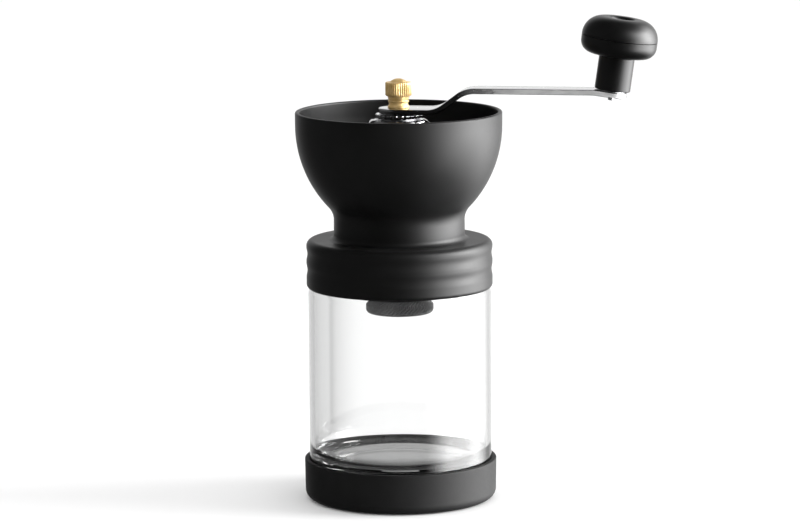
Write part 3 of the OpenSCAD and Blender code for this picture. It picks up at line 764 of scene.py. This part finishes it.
def bevelled_copy(node, name, width, segments=3, angle=32):
    """A copy of a CAD node's shape with its edges rounded."""
    source = frame["nodes"][node]
    obj = bpy.data.objects.new(name, source.data.copy())
    obj.data.materials.clear()
    for key in [k for k in obj.keys() if k.startswith("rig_")]:
        del obj[key]
    bpy.context.scene.collection.objects.link(obj)
    bm = bmesh.new()
    bm.from_mesh(obj.data)
    bmesh.ops.remove_doubles(bm, verts=bm.verts, dist=2e-6)
    bmesh.ops.dissolve_limit(bm, angle_limit=math.radians(1.0), verts=bm.verts, edges=bm.edges)
    edges = [e for e in bm.edges if len(e.link_faces) == 2 and e.calc_face_angle(0.0) > math.radians(angle)]
    bmesh.ops.bevel(bm, geom=edges, offset=width * MM, segments=segments, affect="EDGES",
                    profile=0.5, clamp_overlap=True)
    bmesh.ops.recalc_face_normals(bm, faces=bm.faces)
    bm.to_mesh(obj.data)
    bm.free()
    if obj.data.has_custom_normals:
        obj.data.attributes.remove(obj.data.attributes["custom_normal"])
    obj.data.polygons.foreach_set("use_smooth", [True] * len(obj.data.polygons))
    obj.data.set_sharp_from_angle(angle=math.radians(30))
    return obj


def make_adjuster():
    """Thin round adjusting nut with a notched edge and a raised ring round its bore."""
    notches = 24
    profile = [(3.03, ADJUST_LOW), (ADJUST_R - 0.4, ADJUST_LOW), (ADJUST_R - 0.05, ADJUST_LOW + 0.35)]
    profile += [(ADJUST_R - 0.05, ADJUST_TOP - 0.45)]
    profile += arc(ADJUST_R - 0.45, ADJUST_TOP - 0.45, 0.4, 0, 90, 5)
    profile += [(7.6, ADJUST_TOP), (7.2, ADJUST_TOP - 0.3), (3.03, ADJUST_TOP - 0.3)]

    def shape(r, z, a):
        if r > ADJUST_R - 0.5:
            wave = 0.5 + 0.5 * math.cos(a * notches)
            r -= 0.42 * max(0.0, 1 - wave * 1.6) ** 0.8
        return r, z

    nut = lathe("adjusting_nut_notched", profile, closed=True, segments=notches * 14, shape=shape)
    return place(nut, "adjuster", "bridge_chrome", BRIDGE_CHROME, "adjusting_nut")


def make_cap_nut():
    """Brass cap nut: low dome, knurled grip, straight body with a groove near its foot."""
    knurl_low, knurl_top, grip, body, groove = 185.9, 192.5, 6.0, 4.85, CAP_LOW + 1.15
    flutes = 36
    profile = [(0, CAP_TOP - 2.5), (2.02, CAP_TOP - 2.5), (2.02, CAP_LOW + 0.3), (2.3, CAP_LOW)]
    profile += [(body - 0.25, CAP_LOW), (body - 0.1, CAP_LOW + 0.2)]
    profile += arc(body - 0.3, CAP_LOW + 0.6, 0.3, -20, 60, 5)
    profile += arc(body + 0.1, groove, 0.42, 230, 130, 8)
    profile += [(body, groove + 0.45), (body, knurl_low)]
    profile += [(body + 0.35, knurl_low + 0.2), (grip - 0.3, knurl_low + 0.45), (grip, knurl_low + 0.7)]
    profile += [(grip, knurl_low + 0.7 + (knurl_top - knurl_low - 1.05) * i / 6) for i in range(1, 7)]
    profile += [(grip - 0.35, knurl_top), (4.1, knurl_top + 0.12)]
    ball, rim = 5.68, 3.9
    lean = math.degrees(math.asin(rim / ball))
    profile += arc(0, CAP_TOP - ball, ball, 90 - lean, 90, 12)

    def shape(r, z, a):
        if r > 5.4 and knurl_low < z < knurl_top + 0.05:
            phase = (a * flutes / TURN) % 1.0
            dip = 1 - abs(2 * phase - 1)
            full = min(1.0, max(0.0, (r - 5.5) / 0.45))
            r -= 0.3 * full * dip ** 0.8
        return r, z

    nut = lathe("cap_nut_knurled", profile, segments=flutes * 10, shape=shape, sharp=50)
    return place(nut, "cap", "nut_brass", BRASS, "cap_nut")


def make_cap_washer():
    """Flared foot under the cap nut."""
    top = CAP_LOW - 0.04
    profile = [(2.1, FOOT_LOW), (4.8, FOOT_LOW), (5.0, FOOT_LOW + 0.2)]
    profile += [(5.0, FOOT_LOW + 0.6)]
    profile += arc(6.3, top - 0.25, 1.95, 220, 180, 8)
    profile += [(4.25, top), (2.1, top)]
    foot = lathe("cap_nut_foot", profile, closed=True)
    return place(foot, "cap_seat", "nut_brass", BRASS, "cap_washer")


# ---------------------------------------------------------------- knob

def knob_frame():
    """Places a piece made along +Z from z = 0 on the arm's tip, leaning with it."""
    joint = next(j for j in frame["joints"] if j["name"] == "knob_spin")
    lean = Vector((0, 0, 1)).rotation_difference(Vector(joint["axis"]))
    return Matrix.Translation(Vector(joint["pos_m"])) @ lean.to_matrix().to_4x4()


def in_knob_frame(obj):
    """Moves a piece made at the origin to the knob's place."""
    obj.data.transform(knob_frame())
    return obj


def make_knob():
    """Mushroom knob: stem and lower shell in one piece, upper shell with a deep round recess."""
    radius, stem, head, height, seam = 17.2, 8.1, 16.35, 17.1, 8.0
    under, crown, recess, lip, bore = 5.5, 8.8, 4.7, 2.1, 2.54
    low_z, seat = 0.55, 19.35
    groove = 0.14
    profile = [(bore, low_z), (stem - 0.5, low_z)] + arc(stem - 0.5, low_z + 0.5, 0.5, -90, 0, 5)
    profile += [(stem, head - 0.8)] + arc(stem + 0.8, head - 0.8, 0.8, 180, 90, 5)
    profile += arc(radius - under, head + under, under, -90, 0, 16)
    profile += [(radius, head + seam - groove), (radius - 0.35, head + seam - 0.02)]
    profile += [(recess, head + seam - 0.02), (recess, seat), (bore, seat)]
    grip = in_knob_frame(lathe("knob_lower_shell", profile, closed=True))
    place(grip, "knob", "knob_black", KNOB_BLACK, "knob_grip")

    top = head + height
    profile = [(recess, head + seam + 0.02), (radius - 0.35, head + seam + 0.02)]
    profile += [(radius, head + seam + groove)]
    profile += arc(radius - crown, top - crown, crown, 0, 90, 22)
    profile += arc(recess + lip, top - lip, lip, 90, 180, 10)
    cap = in_knob_frame(lathe("knob_upper_shell", profile, closed=True))
    place(cap, "knob", "knob_black", KNOB_BLACK, "knob_cap")


# ---------------------------------------------------------------- carried-over nodes

def finish_node(node, material):
    """Gives a CAD node that stays in view its own material."""
    slots = frame["nodes"][node].data.materials
    slots.clear()
    slots.append(material)


def make_small_parts():
    """Rounded versions of the pressed and machined parts, and materials for the hidden ones."""
    rounded = (
        ("bearing_bridge", "bridge_pressing", 0.3, "hopper", "bridge_chrome", BRIDGE_CHROME),
        ("bridge_screws", "bridge_screw_heads", 0.15, "hopper", "screw_steel", STEEL),
        ("knob_screw", "knob_pivot_screw", 0.12, "drive", "screw_steel", STEEL),
    )
    for node, name, width, body, slot, material in rounded:
        place(bevelled_copy(node, name, width), body, slot, material, node)
    for node, material in (
            ("jar_gasket", SILICONE), ("burr_housing", INNER_BLACK), ("housing_screws", STEEL),
            ("ring_burr", BURR), ("burr_retainer", INNER_BLACK), ("lower_bush", BRONZE),
            ("spring_washer", STEEL), ("upper_bush", BRONZE), ("key_washer", STEEL),
            ("drive_shaft", SHAFT_STEEL), ("burr_washer", STEEL), ("burr_nut", STEEL),
            ("knob_washer", STEEL)):
        finish_node(node, material)


# ---------------------------------------------------------------- studio

def make_floor():
    """Wide pale floor under the grinder."""
    s = Shader("floor_white", Roughness=0.7, Specular_IOR_Level=0.2)
    s.link(s.ramp(s.noise(3, 2), (0.86, 0.86, 0.86), (0.88, 0.88, 0.88)), s.bsdf.inputs["Base Color"])
    mesh = bpy.data.meshes.new("floor")
    half = 6.0
    corners = [(-half, -half, 0), (half, -half, 0), (half, half, 0), (-half, half, 0)]
    mesh.from_pydata(corners, [], [(0, 1, 2, 3)])
    mesh.materials.append(s.material)
    floor = bpy.data.objects.new("floor", mesh)
    floor.visible_glossy = False
    floor.visible_transmission = False
    bpy.context.scene.collection.objects.link(floor)


def make_world():
    """White surroundings. Reflections see a studio: dark camera side, tall bright panel on the right,
    dim left. What is seen through the glass darkens to the sides and above."""
    world = bpy.data.worlds.new("studio")
    bpy.context.scene.world = world
    world.use_nodes = True
    world.cycles.sampling_method = "NONE"
    tree = world.node_tree
    background = tree.nodes["Background"]
    background.inputs["Color"].default_value = (1, 1, 1, 1)

    def math_node(operation, *values):
        node = tree.nodes.new("ShaderNodeMath")
        node.operation = operation
        for socket, value in zip(node.inputs, values):
            if isinstance(value, (int, float)):
                socket.default_value = value
            else:
                tree.links.new(value, socket)
        return node.outputs["Value"]

    def smooth(value, start, end, low_value, high_value):
        node = tree.nodes.new("ShaderNodeMapRange")
        node.interpolation_type = "SMOOTHSTEP"
        limits = (("From Min", start), ("From Max", end), ("To Min", low_value), ("To Max", high_value))
        for key, number in limits:
            node.inputs[key].default_value = number
        tree.links.new(value, node.inputs["Value"])
        return node.outputs["Result"]

    coords = tree.nodes.new("ShaderNodeTexCoord")
    split = tree.nodes.new("ShaderNodeSeparateXYZ")
    tree.links.new(coords.outputs["Generated"], split.inputs[0])
    across, depth, up = split.outputs["X"], split.outputs["Y"], split.outputs["Z"]
    rays = tree.nodes.new("ShaderNodeLightPath")

    behind = smooth(depth, 0.55, 1.0, 0.0, 1.0)
    off_axis = math_node("ABSOLUTE", math_node("SUBTRACT", depth, 0.08))
    panel = smooth(across, 0.1, 0.6, 0.0, KEY_GLOW)
    panel = math_node("MULTIPLY", panel, smooth(off_axis, 0.3, 0.85, 1.0, 0.0))
    panel = math_node("MULTIPLY", panel, smooth(up, 0.45, 0.8, 1.0, 0.0))
    panel = math_node("MULTIPLY", panel, smooth(up, -0.7, -0.2, 0.0, 1.0))
    left = smooth(across, -0.2, -0.9, 0.0, 0.12)
    reflected = math_node("ADD", math_node("ADD", behind, panel), math_node("ADD", left, 0.012))
    backdrop = tree.nodes.new("ShaderNodeValToRGB")
    tree.links.new(math_node("MULTIPLY", math_node("ADD", across, 1.0), 0.5), backdrop.inputs["Fac"])
    stops = backdrop.color_ramp.elements
    for i, (at, grey) in enumerate(BACKDROP):
        stop = stops[i] if i < 2 else stops.new(0.5 + 0.5 * at)
        stop.position = 0.5 + 0.5 * at
        stop.color = (grey, grey, grey, 1)
    seen = math_node("MULTIPLY", backdrop.outputs["Color"], BACKDROP_GAIN)
    refracted = math_node("MULTIPLY", seen, smooth(up, -0.05, 0.12, 1.0, 0.8))
    # A ray that has passed through glass counts as glossy too, so it is taken off the glossy ones
    glossy_only = math_node("SUBTRACT", rays.outputs["Is Glossy Ray"], rays.outputs["Is Transmission Ray"])
    level = math_node("MULTIPLY", math_node("MAXIMUM", glossy_only, 0.0), reflected)
    level = math_node("ADD", level, math_node("MULTIPLY", rays.outputs["Is Transmission Ray"], refracted))
    level = math_node("ADD", level, math_node("MULTIPLY", rays.outputs["Is Diffuse Ray"], 1.15))
    level = math_node("MAXIMUM", level, rays.outputs["Is Camera Ray"])
    tree.links.new(level, background.inputs["Strength"])


def add_light(name, place_at, aim, size, power):
    """A rectangular soft light."""
    light = bpy.data.lights.new(name, "AREA")
    light.shape = "RECTANGLE"
    light.size, light.size_y = size
    light.energy = power
    obj = bpy.data.objects.new(name, light)
    obj.location = place_at
    obj.rotation_euler = (Vector(aim) - Vector(place_at)).to_track_quat("-Z", "Y").to_euler()
    bpy.context.scene.collection.objects.link(obj)


def make_lights():
    add_light("key", (1.25, 0.15, 0.45), (0, 0, 0.13), (0.7, 0.9), 22)


def make_camera():
    """Long lens a little to the crank's side, looking slightly down."""
    camera = bpy.data.cameras.new("camera")
    camera.sensor_width = 36.0
    camera.lens = 177.75
    camera.clip_end = 50.0
    distance, pitch, turn, roll = 1.812, math.radians(9.05), math.radians(9.0), math.radians(-0.36)
    aim = Vector((0.0, 0.0, 0.10765))
    offset = Vector((math.sin(turn) * math.cos(pitch), -math.cos(turn) * math.cos(pitch), math.sin(pitch)))
    obj = bpy.data.objects.new("camera", camera)
    upright = Matrix.Rotation(turn, 4, "Z") @ Matrix.Rotation(math.pi / 2 - pitch, 4, "X")
    rotation = upright @ Matrix.Rotation(roll, 4, "Z")
    obj.matrix_world = Matrix.Translation(aim + offset * distance) @ rotation
    camera.shift_x = 0.0006
    bpy.context.scene.collection.objects.link(obj)
    bpy.context.scene.camera = obj


make_camera()
make_boot()
make_jar()
make_collar()
make_hopper()
make_burr()
make_spring()
make_arm()
make_adjuster()
make_cap_nut()
make_cap_washer()
make_knob()
make_small_parts()
make_floor()
make_world()
make_lights()
bpy.context.scene.view_settings.view_transform = "Standard"
